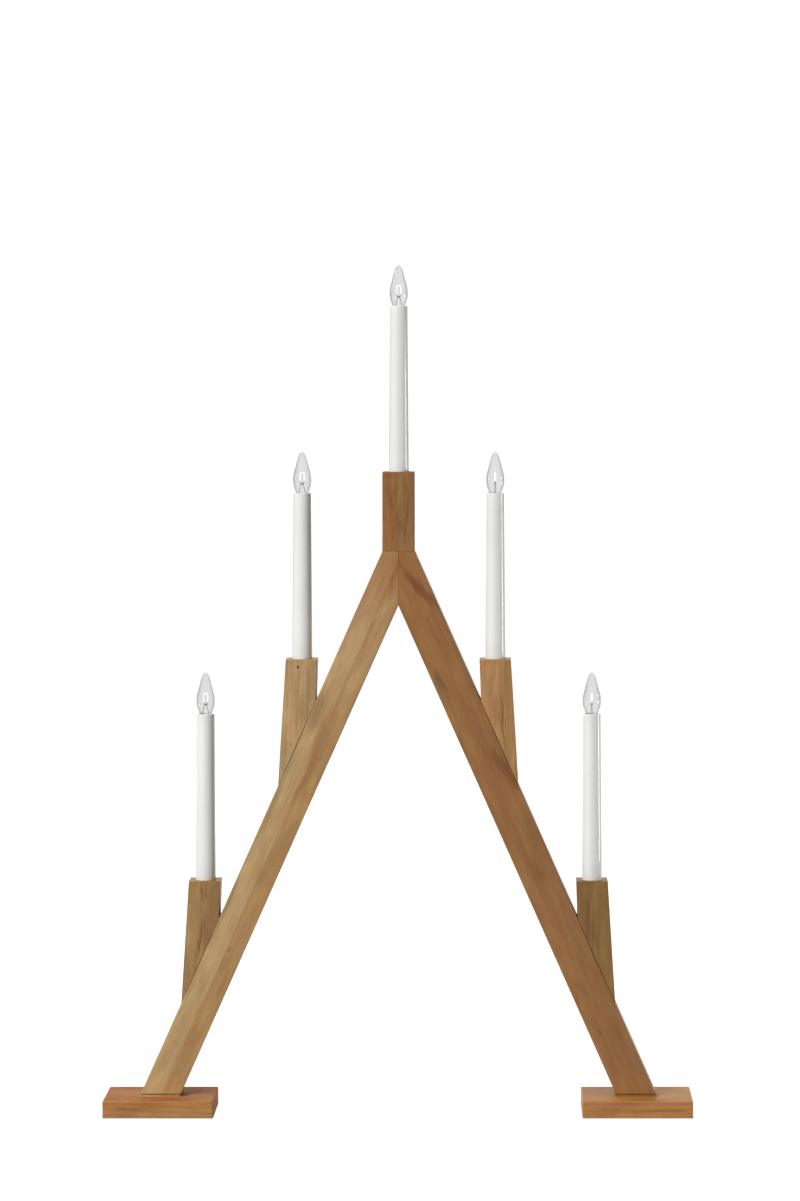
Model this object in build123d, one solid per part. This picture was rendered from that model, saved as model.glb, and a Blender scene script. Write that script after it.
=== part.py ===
from build123d import *
import os
from math import cos, radians, sin, tan

# Wooden candle arch: two leaning legs, five short posts, five candle-shaped electric lights.
# Millimetres, +Z up, -Y is the front. The origin is on the floor, midway between the feet.

# Legs
wood_depth = 22.0
leg_width = 32.0
leg_lean = 24.0
leg_top = 490.4
edge_round = 0.7

# Apex post, standing on the flat cut across both leg tops
apex_post_width = 28.0
apex_post_height = 69.2

# Side posts, glued to the outer edges of the legs
candle_spacing = 84.5
side_post_width = 27.4
upper_post_inner_height = 36.0
lower_post_inner_height = 32.3
side_post_inner_lean = 2.0
side_post_outer_lean = 3.5

# Feet
foot_length = 96.0
foot_depth = 56.0
foot_thickness = 15.0
foot_round = 1.2

# Glue joints and dowels
glue_gap = 0.06
seam_depth = 0.3
dowel_radius = 2.5
dowel_bevel = 0.6
dowel_inset = 6.5
dowel_end_gap = 0.5
dowel_in_leg = 10.0
dowel_in_post = 14.0
mitre_dowel_half = 12.0
mitre_dowel_shares = (0.28, 0.60)
apex_dowel_offset = 8.0
side_dowel_distance = 14.0

# Foot screws, countersunk from below
screw_radius = 2.0
screw_head_radius = 4.0
screw_head_height = 2.2
screw_length = 42.0
screw_point = 4.0
screw_sink = 0.6
screw_spread = 5.5
screw_clearance = 0.3

# Wire way: bores through the posts, a covered groove up the back of each leg
wire_bore_radius = 3.5
groove_width = 7.0
groove_depth = 12.6
groove_end_height = 66.0
strip_width = 10.0
strip_thickness = 2.5
strip_gap = 0.1
mouth_length = 16.0

# Candle sleeves
candle_length = 145.0
candle_base_radius = 9.0
candle_rim_radius = 7.8
candle_base_wall = 1.6
rim_round = 0.5
pocket_radius = 6.5
ledge_radius = 5.9

# Hollow pegs that carry the sleeves on the posts
peg_spigot_radius = 6.0
peg_spigot_depth = 14.0
peg_height = 16.0

# Lamp holders in the tops of the sleeves
holder_sink = 2.2
holder_length = 14.0
holder_floor = 3.0
shell_radius = 5.2
shell_wall = 0.3
shell_lip_radius = 6.0
shell_foot_radius = 3.8
socket_contact_radius = 2.6
socket_contact_thickness = 0.6
tail_radius = 0.7
tail_length = 3.0
side_tail_offset = 4.3

# Screw-cap bulbs
cap_sink = 2.6
cap_clearance = 0.2
cap_wall = 0.25
cap_cone_height = 1.2
cap_cone_radius = 3.4
contact_gap = 0.15
insulator_height = 1.0
insulator_neck = 0.6
solder_radius = 1.6
solder_height = 0.7
glass_height = 36.2
glass_radius = 8.1
glass_rim_radius = 5.6
glass_wall = 0.6
glass_seat = 4.0
glass_height_shares = (0.30, 0.66, 0.915)
glass_radius_shares = (1.0, 0.70, 0.39)
seal_gap = 0.05

# Filament, lead wires and glass bead inside a bulb
lead_radius = 0.25
lead_bend = 0.5
lead_base_offset = 2.2
lead_splay_offset = 2.8
lead_waist_offset = 0.75
lead_splay_height = 0.5
bead_height = 8.0
bead_radius = 0.85
bead_length = 3.4
filament_radius = 0.5
filament_foot = 10.2
filament_top = 17.8
filament_half_width = 2.05
filament_bend = 1.9
lead_tip_length = 0.7
lead_tail_length = 1.5

# Insulated wires in series through the five lamp holders
wire_radius = 0.9
lane_offset = 1.7
return_lane = 5.0
settle_length = 8.0
settle_bend = 6.0
gentle_bend = 15.0
hairpin_bend = 2.6
return_drop = 14.0
return_bend = 2.3
crossing_half = 2.0
terminal_length = 14.0
terminal_gap = 0.3
terminal_drop = 6.0
terminal_hole_radius = 1.2
terminal_hole_depth = 5.0

# How far past a face a cut runs
overrun = 1.0

# Each candle: its place across the arch, in spacings from the middle, and how far its bulb is turned home
candle_names = ("apex", "upper_left", "upper_right", "lower_left", "lower_right")
candle_place_shares = (0, -1, 1, -2, 2)
bulb_turn_angles = (0, 0, 78, 8, 74)

# Worked-out sizes
slope = tan(radians(leg_lean))
lean_cos = cos(radians(leg_lean))
lean_sin = sin(radians(leg_lean))
back = wood_depth / 2
leg_run = leg_width / lean_cos
groove_inset = leg_width / 2
groove_run = groove_inset / lean_cos
groove_floor = back - groove_depth
strip_floor = back - strip_thickness
dowel_hole_radius = dowel_radius + glue_gap
shell_inner_radius = shell_radius - shell_wall
cap_radius = shell_inner_radius - cap_clearance
neck_radius = cap_radius - cap_wall - seal_gap
floor_drop = holder_sink + holder_length - holder_floor
cap_bottom = contact_gap + socket_contact_thickness + solder_height + insulator_neck - floor_drop
tail_drop = holder_sink + holder_length + tail_length


def outer_x(z):
    """Where the outer edge of the right leg lies at a height."""
    return apex_post_width / 2 + (leg_top - z) * slope


def lane_x(z):
    """Where the middle of the right leg's groove lies at a height."""
    return outer_x(z) - groove_run


def lane_z(x):
    """The height at which the groove's middle passes a place across the arch."""
    return leg_top - (x + groove_run - apex_post_width / 2) / slope


def inner_height(step):
    """Height of a side post's inner face, from the leg up to the post's top."""
    return upper_post_inner_height if step == 1 else lower_post_inner_height


def post_top(step):
    """Height of the top of the post that stands a number of spacings out."""
    if step == 0:
        return leg_top + apex_post_height
    inner_top = step * candle_spacing - side_post_width / 2
    inner_foot = inner_top + inner_height(step) * tan(radians(side_post_inner_lean))
    return leg_top - (inner_foot - apex_post_width / 2) / slope + inner_height(step)


def slab(points, front, rear):
    """A flat board: an outline in the plane of the arch, from one depth to another."""
    outline = Polyline(*[(x, front, z) for x, z in points], close=True)
    return extrude(make_face(outline), amount=rear - front, dir=(0, 1, 0))


def turned(points):
    """A solid of revolution about Z from (radius, height) points."""
    return revolve(make_face(Polyline(*[(r, 0, z) for r, z in points], close=True)), Axis.Z)


def upright(radius, x, low, high, y=0):
    """An upright cylinder between two heights."""
    return Pos(x, y, (low + high) / 2) * Cylinder(radius, high - low)


def dowel(radius, length, bevel):
    """A dowel pin about Z, bevelled at both ends and centred on its length."""
    half = length / 2
    slim = radius - bevel
    low_end = [(0, -half), (slim, -half), (radius, bevel - half)]
    high_end = [(radius, half - bevel), (slim, half), (0, half)]
    return turned(low_end + high_end)


def tube(points, radii, radius):
    """A round wire along straight runs with rounded corners."""
    path = FilletPolyline(*points, radius=radii)
    return sweep(Plane(origin=path @ 0, z_dir=path % 0) * Circle(radius), path=path)


def sided(shape, side):
    """The shape as drawn for the right-hand side, or mirrored to the left."""
    return shape if side > 0 else mirror(shape, about=Plane.YZ)


def leaning(distance, inset, y):
    """A place on the right leg: distance down its outer edge from the top, and depth in from that edge."""
    x = apex_post_width / 2 + distance * lean_sin - inset * lean_cos
    z = leg_top - distance * lean_cos - inset * lean_sin
    return Location((x, y, z), (0, 90 - leg_lean, 0))


def side_joint(step):
    """How far down the leg's outer edge a side post's glue joint begins."""
    return (leg_top - post_top(step) + inner_height(step)) / lean_cos


def eased(solid, direction, radius):
    """A board with its long edges rounded."""
    along = Vector(*direction).normalized()
    long_edges = [edge for edge in solid.edges() if abs(edge.tangent_at(0).dot(along)) > cos(radians(1))]
    return fillet(long_edges, radius)


def groove_shape(width, front, end_height):
    """The groove's volume up the right leg, with a rounded lower end and open at the mitre."""
    top = leg_top + overrun
    half = width / 2 / lean_cos
    low = end_height
    foot = lane_x(low)
    outline = [
        (foot - width / 2 * lean_cos, low - width / 2 * lean_sin),
        (foot + width / 2 * lean_cos, low + width / 2 * lean_sin),
        (lane_x(top) + half, top),
        (lane_x(top) - half, top),
    ]
    run = slab(outline, front, back + overrun)
    depth = back + overrun - front
    end = Pos(foot, front + depth / 2, low) * Rot(90, 0, 0) * Cylinder(width / 2, depth)
    return run + end


def screw_x():
    """Where the foot screws stand: midway in the wood that they pass through."""
    inner_low = outer_x(foot_thickness) - leg_run
    outer_high = outer_x(screw_sink + screw_length)
    return (inner_low + outer_high) / 2


def mitre_heights():
    """Heights of the dowels across the mitre, as shares of its length."""
    crotch = leg_top - (leg_run - apex_post_width / 2) / slope
    return [crotch + share * (leg_top - crotch) for share in mitre_dowel_shares]


def strip_end(side):
    """Height at which a cover strip ends: the left one leaves the cord's mouth open."""
    return groove_end_height + (mouth_length * lean_cos if side < 0 else 0)


def seam(length, place):
    """A shallow V along a glue line, cut in the front and back of the boards that meet there."""
    width = seam_depth / cos(radians(45))
    bar = Rot(0, 0, 45) * Box(width, width, length)
    return [Pos(0, y, 0) * place * bar for y in (-back, back)]


def mitre_seam():
    """The V down the mitre between the legs."""
    return seam(2 * leg_top, Location((0, 0, leg_top)))


def apex_seam():
    """The V along the flat cut under the apex post."""
    return seam(apex_post_width, Pos(0, 0, leg_top) * Rot(0, 90, 0))


def leg(side):
    """One leg: mitred at the top, grooved up the back, bored for wires, dowels and screws."""
    outline = [
        (0, leg_top),
        (0, leg_top - (leg_run - apex_post_width / 2) / slope),
        (outer_x(foot_thickness) - leg_run, foot_thickness),
        (outer_x(foot_thickness), foot_thickness),
        (apex_post_width / 2, leg_top),
    ]
    body = eased(slab(outline, -back, back), (slope, 0, -1), edge_round)
    cuts = [groove_shape(groove_width, groove_floor, groove_end_height)]
    cuts.append(groove_shape(strip_width, strip_floor, strip_end(side)))
    cuts.append(upright(wire_bore_radius, 0, lane_z(lane_offset) - lane_offset, leg_top + overrun))
    for step in (1, 2):
        x = step * candle_spacing
        cuts.append(upright(wire_bore_radius, x, lane_z(x), post_top(step)))
        place = side_joint(step) + side_dowel_distance
        for y in (-dowel_inset, dowel_inset):
            hole = Cylinder(dowel_hole_radius, 2 * (dowel_in_leg + dowel_end_gap))
            cuts.append(leaning(place, 0, y) * hole)
    for z in mitre_heights():
        hole = Cylinder(dowel_hole_radius, 2 * (mitre_dowel_half + dowel_end_gap))
        cuts.append(Pos(0, -dowel_inset, z) * Rot(0, 90, 0) * hole)
    low = leg_top - dowel_in_leg - dowel_end_gap
    cuts.append(upright(dowel_hole_radius, apex_dowel_offset, low, leg_top + overrun, -dowel_inset))
    for y in (-screw_spread, screw_spread):
        tip = screw_sink + screw_length + glue_gap
        cuts.append(upright(screw_radius + glue_gap, screw_x(), 0, tip, y))
    return sided(body - cuts - mitre_seam() - apex_seam(), side)


def cover_strip(side):
    """The strip that closes a leg's groove, flush with its back."""
    width = strip_width - 2 * strip_gap
    strip = groove_shape(width, strip_floor, strip_end(side))
    far = outer_x(0)
    bounds = Pos(far / 2 + strip_gap / 2, back - strip_thickness / 2, leg_top / 2)
    room = bounds * Box(far, strip_thickness, leg_top - 2 * strip_gap)
    return sided(strip & room, side)


def foot(side):
    """One foot: a flat board under the leg, drilled and countersunk for its screws."""
    x = outer_x(foot_thickness) - leg_run / 2
    board = Box(foot_length, foot_depth, foot_thickness)
    rims = board.edges().filter_by(Axis.Z) + board.edges().group_by(Axis.Z)[-1]
    body = Pos(x, 0, foot_thickness / 2) * fillet(rims, foot_round)
    hole = screw_radius + screw_clearance
    wide = screw_head_radius + screw_clearance
    neck = screw_sink + screw_head_height
    cut = turned([
        (0, -overrun),
        (wide, -overrun),
        (wide, screw_sink),
        (hole, neck),
        (hole, foot_thickness + overrun),
        (0, foot_thickness + overrun),
    ])
    cuts = [Pos(screw_x(), y, 0) * cut for y in (-screw_spread, screw_spread)]
    return sided(body - cuts, side)


def foot_screws():
    """Four countersunk wood screws."""
    neck = screw_sink + screw_head_height
    tip = screw_sink + screw_length
    screw = turned([
        (0, screw_sink),
        (screw_head_radius, screw_sink),
        (screw_radius, neck),
        (screw_radius, tip - screw_point),
        (0, tip),
    ])
    places = [(x, y) for x in (-screw_x(), screw_x()) for y in (-screw_spread, screw_spread)]
    return [Pos(x, y, 0) * screw for x, y in places]


def wire_way(x, top, low):
    """What is bored down a post: the peg's seat and the hole for two wires."""
    seat = upright(peg_spigot_radius + glue_gap, x, top - peg_spigot_depth, top + overrun)
    return [seat, upright(wire_bore_radius, x, low, top)]


def apex_post():
    """The square post on the apex, with its top edges eased."""
    top = post_top(0)
    half = apex_post_width / 2
    body = slab([(-half, leg_top), (half, leg_top), (half, top), (-half, top)], -back, back)
    body = eased(body, (0, 0, 1), edge_round)
    body = fillet(body.faces().sort_by(Axis.Z)[-1].edges(), edge_round)
    cuts = wire_way(0, top, leg_top - overrun)
    for x in (-apex_dowel_offset, apex_dowel_offset):
        high = leg_top + dowel_in_post + dowel_end_gap
        cuts.append(upright(dowel_hole_radius, x, leg_top - overrun, high, -dowel_inset))
    return body - cuts - apex_seam()


def side_post(side, step):
    """A side post: flares slightly downwards and is scarfed to a long point on the leg's edge."""
    top = post_top(step)
    x = step * candle_spacing
    inner_top = x - side_post_width / 2
    outer_top = x + side_post_width / 2
    inner_foot = top - inner_height(step)
    outer_slope = tan(radians(side_post_outer_lean))
    tip_drop = (outer_top - outer_x(top)) / (slope - outer_slope)
    outline = [
        (inner_top, top),
        (outer_x(inner_foot), inner_foot),
        (outer_x(top - tip_drop), top - tip_drop),
        (outer_top, top),
    ]
    body = slab(outline, -back, back)
    rims = [edge for edge in body.edges() if edge.center().Z > inner_foot]
    faces = [edge for edge in rims if abs(edge.tangent_at(0).Y) < lean_sin]
    body = fillet(faces, edge_round)
    cuts = wire_way(x, top, lane_z(x))
    place = side_joint(step) + side_dowel_distance
    for y in (-dowel_inset, dowel_inset):
        hole = Cylinder(dowel_hole_radius, 2 * (dowel_in_post + dowel_end_gap))
        cuts.append(leaning(place, 0, y) * hole)
    return sided(body - cuts, side)


def mitre_dowels():
    """Two dowels across the mitre."""
    pin = Rot(0, 90, 0) * dowel(dowel_radius, 2 * mitre_dowel_half, dowel_bevel)
    return [Pos(0, -dowel_inset, z) * pin for z in mitre_heights()]


def apex_dowels():
    """Two dowels from the legs up into the apex post."""
    pin = dowel(dowel_radius, dowel_in_leg + dowel_in_post, dowel_bevel)
    middle = leg_top + (dowel_in_post - dowel_in_leg) / 2
    return [Pos(x, -dowel_inset, middle) * pin for x in (-apex_dowel_offset, apex_dowel_offset)]


def side_dowels():
    """Two dowels square to each side post's glue joint."""
    pin = dowel(dowel_radius, dowel_in_leg + dowel_in_post, dowel_bevel)
    inset = (dowel_in_leg - dowel_in_post) / 2
    pins = []
    for share in candle_place_shares[1:]:
        place = side_joint(abs(share)) + side_dowel_distance
        for y in (-dowel_inset, dowel_inset):
            pins.append(sided(leaning(place, inset, y) * pin, share))
    return pins


def sleeve_bore(height):
    """Radius inside a candle sleeve, which is drafted from its base up to the holder's ledge."""
    base = candle_base_radius - candle_base_wall
    ledge = candle_length - holder_sink - holder_length
    return base + (ledge_radius - base) * height / ledge


def candle_sleeve():
    """A tapered candle sleeve, standing on its base, with a pocket and ledge for the lamp holder."""
    ledge = candle_length - holder_sink - holder_length
    shoulder = candle_length - rim_round
    sides = Polyline(
        (candle_rim_radius - rim_round, 0, candle_length),
        (pocket_radius, 0, candle_length),
        (pocket_radius, 0, ledge),
        (ledge_radius, 0, ledge),
        (sleeve_bore(0), 0, 0),
        (candle_base_radius, 0, 0),
        (candle_rim_radius, 0, shoulder),
    )
    middle = rim_round * cos(radians(45))
    lip = ThreePointArc(
        (candle_rim_radius, 0, shoulder),
        (candle_rim_radius - rim_round + middle, 0, shoulder + middle),
        (candle_rim_radius - rim_round, 0, candle_length),
    )
    return revolve(make_face([sides, lip]), Axis.Z)


def candle_peg():
    """A hollow peg: its spigot is glued in the post, its tapered top carries the sleeve."""
    return turned([
        (wire_bore_radius, -peg_spigot_depth),
        (peg_spigot_radius, -peg_spigot_depth),
        (peg_spigot_radius, 0),
        (sleeve_bore(0) - glue_gap, 0),
        (sleeve_bore(peg_height) - glue_gap, peg_height),
        (wire_bore_radius, peg_height),
    ])


def lamp_holder(side):
    """The insulating cup of a lamp holder, with the candle's rim at height zero."""
    top = -holder_sink
    low = top - holder_length
    wide = pocket_radius - glue_gap
    bore = shell_radius + glue_gap
    cup = turned([(0, low), (wide, low), (wide, top), (bore, top), (bore, -floor_drop), (0, -floor_drop)])
    centre_hole = upright(tail_radius + glue_gap, -lane_offset, low - overrun, overrun - floor_drop)
    side_hole = upright(tail_radius + glue_gap, side_tail_offset, low - overrun, overrun - floor_drop)
    return sided(cup - [centre_hole, side_hole], side)


def socket_shell(side):
    """The brass screw shell of a lamp holder, with a lip on top and a soldering tail below."""
    top = -holder_sink
    low = -floor_drop
    shell = turned([
        (shell_foot_radius, low),
        (shell_radius, low),
        (shell_radius, top),
        (shell_lip_radius, top),
        (shell_lip_radius, top + shell_wall),
        (shell_inner_radius, top + shell_wall),
        (shell_inner_radius, low + shell_wall),
        (shell_foot_radius, low + shell_wall),
    ])
    tail = upright(tail_radius, side_tail_offset, -tail_drop, low)
    return sided(shell + tail, side)


def socket_contact(side):
    """The centre contact of a lamp holder: a disc riveted through the floor."""
    disc = upright(socket_contact_radius, 0, -floor_drop, socket_contact_thickness - floor_drop)
    tail = upright(tail_radius, -lane_offset, -tail_drop, -floor_drop)
    return sided(disc + tail, side)


def bulb_cap():
    """The bulb's brass screw cap, drawn in to a cone at the bottom."""
    bore = cap_radius - cap_wall
    shoulder = cap_bottom + cap_cone_height
    return turned([
        (cap_radius, -cap_sink),
        (bore, -cap_sink),
        (bore, shoulder + cap_wall),
        (cap_cone_radius - cap_wall, cap_bottom),
        (cap_cone_radius, cap_bottom),
        (cap_radius, shoulder),
    ])


def bulb_contact():
    """The bulb's end: a glass insulator in the mouth of the cap, and a domed solder contact under it."""
    wide = cap_cone_radius - cap_wall - contact_gap
    under = cap_bottom - insulator_neck
    insulator = turned([
        (0, cap_bottom + insulator_height),
        (wide, cap_bottom + insulator_height),
        (wide, cap_bottom),
        (solder_radius, under),
        (0, under),
    ])
    ball_radius = (solder_radius**2 + solder_height**2) / (2 * solder_height)
    ball = Pos(0, 0, under - solder_height + ball_radius) * Sphere(ball_radius)
    dome = ball & upright(solder_radius, 0, under - solder_height, under)
    return [insulator, dome]


def glass_outline(wall):
    """Half the flame-shaped outline of the bulb, moved in by a wall."""
    places = [(glass_rim_radius - wall, 0, 0)]
    for radius_share, height_share in zip(glass_radius_shares, glass_height_shares):
        places.append((radius_share * glass_radius - wall, 0, height_share * glass_height))
    start = (neck_radius - wall, 0, -cap_sink)
    tip = (0, 0, glass_height - wall)
    return Spline(start, *places, tip, tangents=[(0, 0, 1), (-1, 0, 0)])


def lead(radius):
    """The right-hand lead wire: splayed at the base, drawn in at the bead, out again to the filament."""
    waist = bead_height - bead_radius / 2
    rise = bead_height + bead_radius / 2
    points = [
        (lead_base_offset, 0, -cap_sink - glass_seat - lead_tail_length),
        (lead_base_offset, 0, -cap_sink),
        (lead_splay_offset, 0, lead_splay_height),
        (lead_waist_offset, 0, waist),
        (lead_waist_offset, 0, rise),
        (filament_half_width, 0, filament_foot - lead_tip_length),
        (filament_half_width, 0, filament_foot),
    ]
    return tube(points, lead_bend, radius)


def both_leads(radius):
    """Both lead wires, mirror images of each other."""
    right = lead(radius)
    return [right, mirror(right, about=Plane.YZ)]


def bulb_glass():
    """The blown glass, closed by its seal round the leads, and the bead that spaces them."""
    outer = glass_outline(0)
    inner = glass_outline(glass_wall)
    low = -cap_sink - glass_seat
    walls = Polyline(
        (neck_radius, 0, -cap_sink),
        (neck_radius, 0, low),
        (0, 0, low),
        (0, 0, low + glass_wall),
        (neck_radius - glass_wall, 0, low + glass_wall),
        (neck_radius - glass_wall, 0, -cap_sink),
    )
    crown = Line((0, 0, glass_height - glass_wall), (0, 0, glass_height))
    envelope = revolve(make_face([outer, inner, walls, crown]), Axis.Z)
    bead = Pos(0, 0, bead_height) * Rot(0, 90, 0) * dowel(bead_radius, bead_length, bead_radius / 2)
    holes = both_leads(lead_radius + seal_gap)
    return [envelope - holes, bead - holes]


def filament():
    """The hairpin filament, from one lead's tip to the other's."""
    points = [
        (filament_half_width, 0, filament_foot),
        (filament_half_width, 0, filament_top),
        (-filament_half_width, 0, filament_top),
        (-filament_half_width, 0, filament_foot),
    ]
    return tube(points, filament_bend, filament_radius)


def tail_end(step):
    """Height of the soldering tails' ends in the candle that stands a number of spacings out."""
    return post_top(step) + candle_length - tail_drop


def outer_drop(step):
    """Down from a holder's side tail, into the outer lane of the post, to the middle of the groove."""
    x = step * candle_spacing
    high = tail_end(step)
    lane = x + lane_offset
    points = [(x + side_tail_offset, high), (x + side_tail_offset, high - settle_length)]
    points.append((lane, high - 2 * settle_length))
    points.append((lane, lane_z(lane)))
    return points, [settle_bend, settle_bend, gentle_bend]


def inner_drop(step):
    """Straight down from a holder's centre tail, by the inner lane of the post, to the groove."""
    lane = step * candle_spacing - lane_offset
    return [(lane, tail_end(step)), (lane, lane_z(lane))], [hairpin_bend]


def flat_wire(points, radii, side):
    """A wire that stays in the middle plane of the wood."""
    return sided(tube([(x, 0, z) for x, z in points], radii, wire_radius), side)


def link(low_end, high_end, side):
    """A wire that joins two drops through the groove between them."""
    low_points, low_radii = low_end
    high_points, high_radii = high_end
    return flat_wire(low_points + high_points[::-1], low_radii + high_radii[::-1], side)


def terminal_top():
    """Height of the terminal block's upper end on the groove's middle line."""
    return lane_z(2 * candle_spacing + lane_offset) - terminal_drop


def left_wires():
    """The feed to the lowest light, and the links from there up to the apex."""
    points, radii = outer_drop(2)
    end = (lane_x(terminal_top()), terminal_top())
    apex_rise = ([(lane_offset, tail_end(0)), (lane_offset, lane_z(lane_offset))], [gentle_bend])
    feed = flat_wire(points + [end], radii, -1)
    return [feed, link(inner_drop(2), outer_drop(1), -1), link(inner_drop(1), apex_rise, -1)]


def right_wires():
    """The links from the apex down to the lowest light on the right."""
    return [link(inner_drop(1), outer_drop(0), 1), link(inner_drop(2), outer_drop(1), 1)]


def return_wire():
    """From the last light down, back along both grooves behind the links, to the terminal block."""
    points, radii = outer_drop(2)
    route = [(x, 0, z) for x, z in points]
    turn = points[-1][1] - return_drop
    ridge = lane_z(crossing_half)
    end = terminal_top()
    route.append((lane_x(turn), 0, turn))
    route.append((lane_x(turn), return_lane, turn))
    route.append((crossing_half, return_lane, ridge))
    route.append((-crossing_half, return_lane, ridge))
    route.append((-lane_x(end), return_lane, end))
    return tube(route, radii + 4 * [return_bend], wire_radius)


def terminal_block():
    """The block in the foot of the left groove where the two wires meet the supply."""
    depth = strip_floor - groove_floor - 2 * terminal_gap
    middle = (strip_floor + groove_floor) / 2
    body = Box(groove_width - 2 * terminal_gap, depth, terminal_length)
    for y in (0, return_lane):
        low = terminal_length / 2 - terminal_hole_depth / 2
        body -= Pos(0, y - middle, -low) * Cylinder(terminal_hole_radius, terminal_hole_depth)
    top = terminal_top()
    drop = terminal_length / 2
    place = Pos(lane_x(top) + drop * lean_sin, middle, top - drop * lean_cos)
    return sided(place * Rot(0, -leg_lean, 0) * body, -1)


def write(name, shapes):
    """One file for each named piece, or for each group of like pieces."""
    solids = shapes if isinstance(shapes, list) else [shapes]
    export_step(solids[0] if len(solids) == 1 else Compound(children=solids), f"parts/{name}.step")


def main():
    os.makedirs("parts", exist_ok=True)
    for side, word in ((-1, "left"), (1, "right")):
        write(f"{word}_leg", leg(side))
        write(f"{word}_foot", foot(side))
        write(f"{word}_cover_strip", cover_strip(side))
    write("apex_post", apex_post())
    write("foot_screws", foot_screws())
    write("mitre_dowels", mitre_dowels())
    write("apex_dowels", apex_dowels())
    write("side_dowels", side_dowels())
    write("left_wires", left_wires())
    write("right_wires", right_wires())
    write("return_wire", return_wire())
    write("terminal_block", terminal_block())
    pegs = []
    shells = []
    contacts = []
    for name, share, turn in zip(candle_names, candle_place_shares, bulb_turn_angles):
        side = -1 if share < 0 else 1
        step = abs(share)
        base = Pos(share * candle_spacing, 0, post_top(step))
        rim = Pos(0, 0, candle_length) * base
        home = rim * Rot(0, 0, turn)
        if step:
            write(f"{name}_post", side_post(side, step))
        write(f"{name}_candle", base * candle_sleeve())
        write(f"{name}_lamp_holder", rim * lamp_holder(side))
        write(f"{name}_bulb_glass", [home * piece for piece in bulb_glass()])
        write(f"{name}_bulb_cap", home * bulb_cap())
        write(f"{name}_bulb_leads", [home * piece for piece in both_leads(lead_radius)])
        write(f"{name}_bulb_filament", home * filament())
        write(f"{name}_bulb_contact", [home * piece for piece in bulb_contact()])
        pegs.append(base * candle_peg())
        shells.append(rim * socket_shell(side))
        contacts.append(rim * socket_contact(side))
    write("candle_pegs", pegs)
    write("socket_shells", shells)
    write("socket_contacts", contacts)


main()
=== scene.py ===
import math
import bmesh
import bpy
from mathutils import Euler, Matrix, Vector


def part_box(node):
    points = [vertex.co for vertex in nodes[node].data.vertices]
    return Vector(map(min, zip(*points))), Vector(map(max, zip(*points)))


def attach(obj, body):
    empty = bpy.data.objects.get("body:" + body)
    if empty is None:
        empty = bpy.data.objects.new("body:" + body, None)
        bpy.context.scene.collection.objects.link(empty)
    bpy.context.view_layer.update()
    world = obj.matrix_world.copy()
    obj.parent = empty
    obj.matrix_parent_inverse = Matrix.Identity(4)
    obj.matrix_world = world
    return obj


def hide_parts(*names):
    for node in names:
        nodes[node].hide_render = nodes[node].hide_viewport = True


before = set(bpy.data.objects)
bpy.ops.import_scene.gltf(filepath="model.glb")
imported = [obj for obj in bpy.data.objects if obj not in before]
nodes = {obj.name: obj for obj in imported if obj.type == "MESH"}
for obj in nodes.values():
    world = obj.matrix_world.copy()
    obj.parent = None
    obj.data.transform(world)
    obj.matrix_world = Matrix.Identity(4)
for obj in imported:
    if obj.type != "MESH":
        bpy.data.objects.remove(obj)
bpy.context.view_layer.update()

scene = bpy.context.scene
mm = 0.001
candleNames = ("apex", "upper_left", "upper_right", "lower_left", "lower_right")
print("frame loaded:", len(nodes), "nodes")


def linear(hexColour):
    # sRGB hex to the linear colour that a socket takes
    parts = [int(hexColour[i:i + 2], 16) / 255 for i in (1, 3, 5)]
    return [p / 12.92 if p <= 0.04045 else ((p + 0.055) / 1.055) ** 2.4 for p in parts] + [1.0]


def put(tree, kind, settings=None, inputs=None):
    # one node: settings are its own fields, inputs are values or other nodes' outputs
    # in a colour Mix, socket 0 is the factor, 6 and 7 are the two colours and output 2 is the result
    node = tree.nodes.new(kind)
    for field, value in (settings or {}).items():
        setattr(node, field, value)
    for socket, value in (inputs or {}).items():
        if isinstance(value, bpy.types.NodeSocket):
            tree.links.new(value, node.inputs[socket])
        else:
            node.inputs[socket].default_value = value
    return node


def startMaterial(name):
    made = bpy.data.materials.new(name)
    made.use_nodes = True
    made.node_tree.nodes.clear()
    return made, made.node_tree


def startTree(name, sizes):
    # a Geometry Nodes tree with one named input, whole or decimal, for each size
    tree = bpy.data.node_groups.new(name, "GeometryNodeTree")
    tree.interface.new_socket(name="Geometry", in_out="INPUT", socket_type="NodeSocketGeometry")
    for label, value in sizes.items():
        whole = isinstance(value, int)
        socket = tree.interface.new_socket(
            name=label, in_out="INPUT", socket_type="NodeSocketInt" if whole else "NodeSocketFloat")
        socket.default_value = value
    tree.interface.new_socket(name="Geometry", in_out="OUTPUT", socket_type="NodeSocketGeometry")
    return tree, put(tree, "NodeGroupInput")


def grow(tree, data, sizes):
    # runs a tree on a mesh or curve and gives back a plain mesh
    holder = bpy.data.objects.new("growing", data)
    scene.collection.objects.link(holder)
    work = holder.modifiers.new("grow", "NODES")
    work.node_group = tree
    for item in tree.interface.items_tree:
        if item.in_out == "INPUT" and item.name in sizes:
            work[item.identifier] = sizes[item.name]
    made = bpy.data.meshes.new_from_object(holder.evaluated_get(bpy.context.evaluated_depsgraph_get()))
    holder.modifiers.remove(work)
    bpy.data.objects.remove(holder)
    return made


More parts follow.
